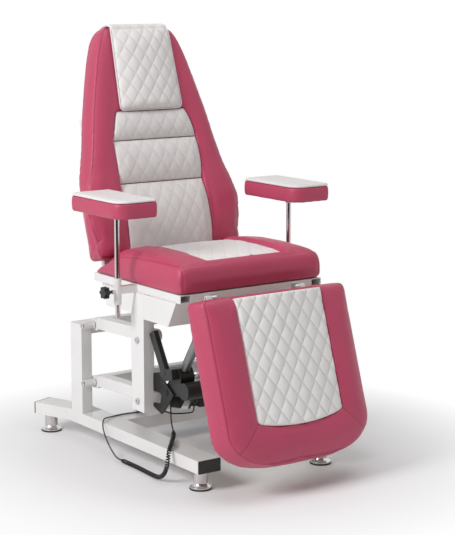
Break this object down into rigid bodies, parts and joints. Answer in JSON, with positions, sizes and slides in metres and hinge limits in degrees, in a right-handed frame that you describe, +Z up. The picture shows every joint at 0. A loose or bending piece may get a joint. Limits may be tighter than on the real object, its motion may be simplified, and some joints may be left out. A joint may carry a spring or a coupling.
{
  "type": "podiatry chair",
  "caption": "Height-adjustable podiatry treatment chair with parallel link lift, reclining padded back, swinging padded leg rest, adjustable arm rests and corded handset.",
  "frame": {"origin": "on the floor, under the middle of the chair's bounding box at rest", "axes": "+Z up; the sitter faces -Y; +X to the right as seen from the front"},
  "size_m": [0.809, 1.1182, 1.3754],
  "materials": {
    "white_paint": "satin powder coat",
    "dark_plastic": "fine-textured dark moulding",
    "chrome": "polished",
    "bright_steel": "zinc plated",
    "alloy": "satin anodised",
    "rubber": "matt",
    "board": "plain plywood",
    "pink_leather": "soft upholstery leather",
    "pale_leather": "quilted upholstery leather",
    "black_paint": "satin black powder coat",
    "key_grey": "soft touch keys"
  },
  "bodies": {
    "base": {"base_rail_left": "white_paint", "base_rail_right": "white_paint", "base_cross_tube": "white_paint", "rail_end_caps": "dark_plastic", "foot_stems": "chrome", "foot_rims": "rubber", "rear_post_left": "white_paint", "rear_post_right": "white_paint", "rear_top_bar": "white_paint", "rear_pivot_bolts": "bright_steel", "cord_drop": "dark_plastic", "cord_curly": "dark_plastic", "cord_rise": "dark_plastic"},
    "lower_link": {"lower_link": "white_paint"},
    "upper_link": {"upper_link": "white_paint"},
    "carriage": {"front_post_left": "white_paint", "front_post_right": "white_paint", "front_cross_bar": "white_paint", "front_pivot_bolts": "bright_steel", "seat_frame": "white_paint", "seat_frame_hinges": "bright_steel", "side_panels_left": "white_paint", "side_panels_right": "white_paint", "front_skirt": "white_paint", "drive_rail": "white_paint", "leg_drive_cheeks": "black_paint", "control_box": "dark_plastic", "seat_board": "board", "seat_cushion": "pink_leather", "arm_clamp_left": "white_paint", "arm_clamp_right": "white_paint"},
    "lift_drive": {"lift_drive_housing": "dark_plastic", "lift_drive_tube": "alloy"},
    "lift_rod": {"lift_drive_rod": "chrome"},
    "back_rest": {"back_frame": "white_paint", "back_board": "board", "back_cushion": "pink_leather", "back_rolls": "pale_leather", "head_pillow": "pale_leather"},
    "back_drive": {"back_drive_housing": "dark_plastic", "back_drive_tube": "alloy"},
    "back_rod": {"back_drive_rod": "chrome"},
    "leg_rest": {"leg_frame": "white_paint", "leg_board": "board", "leg_cushion": "pink_leather"},
    "leg_drive": {"leg_drive_housing": "dark_plastic", "leg_drive_tube": "alloy"},
    "leg_rod": {"leg_drive_rod": "chrome"},
    "arm_post_left": {"arm_rod_left": "chrome"},
    "arm_post_right": {"arm_rod_right": "chrome"},
    "arm_rest_left": {"arm_plate_left": "white_paint", "arm_pad_left": "pink_leather"},
    "arm_rest_right": {"arm_plate_right": "white_paint", "arm_pad_right": "pink_leather"},
    "knob_left": {"arm_knob_left": "dark_plastic"},
    "knob_right": {"arm_knob_right": "dark_plastic"},
    "handset": {"handset": "dark_plastic"},
    "key_1": {"handset_key_1": "key_grey"},
    "key_2": {"handset_key_2": "key_grey"},
    "key_3": {"handset_key_3": "key_grey"}
  },
  "joints": [
    {"name": "lift", "type": "hinge", "parent": "base", "child": "lower_link", "pos_m": [0, 0.28795, 0.207], "axis": [-1, 0, 0], "range_deg": [0, 45], "deforming": ["cord_drop", "cord_curly"]},
    {"name": "upper_link_pivot", "type": "hinge", "parent": "base", "child": "upper_link", "pos_m": [0, 0.28795, 0.402], "axis": [-1, 0, 0], "range_deg": [0, 45]},
    {"name": "carriage_pivot", "type": "hinge", "parent": "lower_link", "child": "carriage", "pos_m": [0, -0.04405, 0.219], "axis": [-1, 0, 0], "range_deg": [-45, 0]},
    {"name": "lift_drive_pivot", "type": "hinge", "parent": "base", "child": "lift_drive", "pos_m": [0.045, 0.22195, 0.14], "axis": [-1, 0, 0], "range_deg": [0, 44.8]},
    {"name": "lift_drive_slide", "type": "slide", "parent": "lift_drive", "child": "lift_rod", "axis": [0, -0.8699, 0.4933], "range_m": [0, 0.12131]},
    {"name": "back_recline", "type": "hinge", "parent": "carriage", "child": "back_rest", "pos_m": [0, 0.2395, 0.58317], "axis": [-1, 0, 0], "range_deg": [0, 70]},
    {"name": "back_drive_pivot", "type": "hinge", "parent": "carriage", "child": "back_drive", "pos_m": [0, -0.12505, 0.514], "axis": [-1, 0, 0], "range_deg": [-1.38, 0]},
    {"name": "back_drive_slide", "type": "slide", "parent": "back_drive", "child": "back_rod", "axis": [0, 0.9998, 0.022], "range_m": [-0.07118, 0]},
    {"name": "leg_raise", "type": "hinge", "parent": "carriage", "child": "leg_rest", "pos_m": [0, -0.29506, 0.576], "axis": [-1, 0, 0], "range_deg": [0, 72]},
    {"name": "leg_drive_pivot", "type": "hinge", "parent": "carriage", "child": "leg_drive", "pos_m": [-0.205, -0.15505, 0.263], "axis": [-1, 0, 0], "range_deg": [-0.5544, 0]},
    {"name": "leg_drive_slide", "type": "slide", "parent": "leg_drive", "child": "leg_rod", "axis": [0, -0.5542, 0.8324], "range_m": [0, 0.07565]},
    {"name": "arm_height_left", "type": "slide", "parent": "carriage", "child": "arm_post_left", "axis": [0, 0, 1], "range_m": [-0.09, 0.05]},
    {"name": "arm_swivel_left", "type": "hinge", "parent": "arm_post_left", "child": "arm_rest_left", "pos_m": [-0.332, -0.02705, 0.8], "axis": [0, 0, 1], "range_deg": [-90, 90]},
    {"name": "knob_turn_left", "type": "hinge", "parent": "carriage", "child": "knob_left", "pos_m": [-0.378, -0.02705, 0.573], "axis": [-1, 0, 0], "range_deg": [0, 180]},
    {"name": "arm_height_right", "type": "slide", "parent": "carriage", "child": "arm_post_right", "axis": [0, 0, 1], "range_m": [-0.09, 0.05]},
    {"name": "arm_swivel_right", "type": "hinge", "parent": "arm_post_right", "child": "arm_rest_right", "pos_m": [0.332, -0.02705, 0.8], "axis": [0, 0, 1], "range_deg": [-90, 90]},
    {"name": "knob_turn_right", "type": "hinge", "parent": "carriage", "child": "knob_right", "pos_m": [0.378, -0.02705, 0.573], "axis": [1, 0, 0], "range_deg": [0, 180]},
    {"name": "handset_lift", "type": "slide", "parent": "base", "child": "handset", "axis": [0, 0, 1], "range_m": [0, 0.06]},
    {"name": "key_rock_1", "type": "hinge", "parent": "handset", "child": "key_1", "pos_m": [-0.095, 0.19095, 0.232], "axis": [1, 0, 0], "range_deg": [-3, 3], "stiffness_Nm_per_rad": 0.05},
    {"name": "key_rock_2", "type": "hinge", "parent": "handset", "child": "key_2", "pos_m": [-0.095, 0.19095, 0.202], "axis": [1, 0, 0], "range_deg": [-3, 3], "stiffness_Nm_per_rad": 0.05},
    {"name": "key_rock_3", "type": "hinge", "parent": "handset", "child": "key_3", "pos_m": [-0.095, 0.19095, 0.172], "axis": [1, 0, 0], "range_deg": [-3, 3], "stiffness_Nm_per_rad": 0.05}
  ],
  "couplings": [
    {"joint": "upper_link_pivot", "follows": "lift", "ratio": 1},
    {"joint": "carriage_pivot", "follows": "lift", "ratio": -1},
    {"joint": "lift_drive_pivot", "follows": "lift", "ratio": 0.9955},
    {"joint": "lift_drive_slide", "follows": "lift", "m_per_rad": 0.15446},
    {"joint": "back_drive_pivot", "follows": "back_recline", "ratio": -0.0197},
    {"joint": "back_drive_slide", "follows": "back_recline", "m_per_rad": -0.05826},
    {"joint": "leg_drive_pivot", "follows": "leg_raise", "ratio": -0.0077},
    {"joint": "leg_drive_slide", "follows": "leg_raise", "m_per_rad": 0.0602}
  ]
}
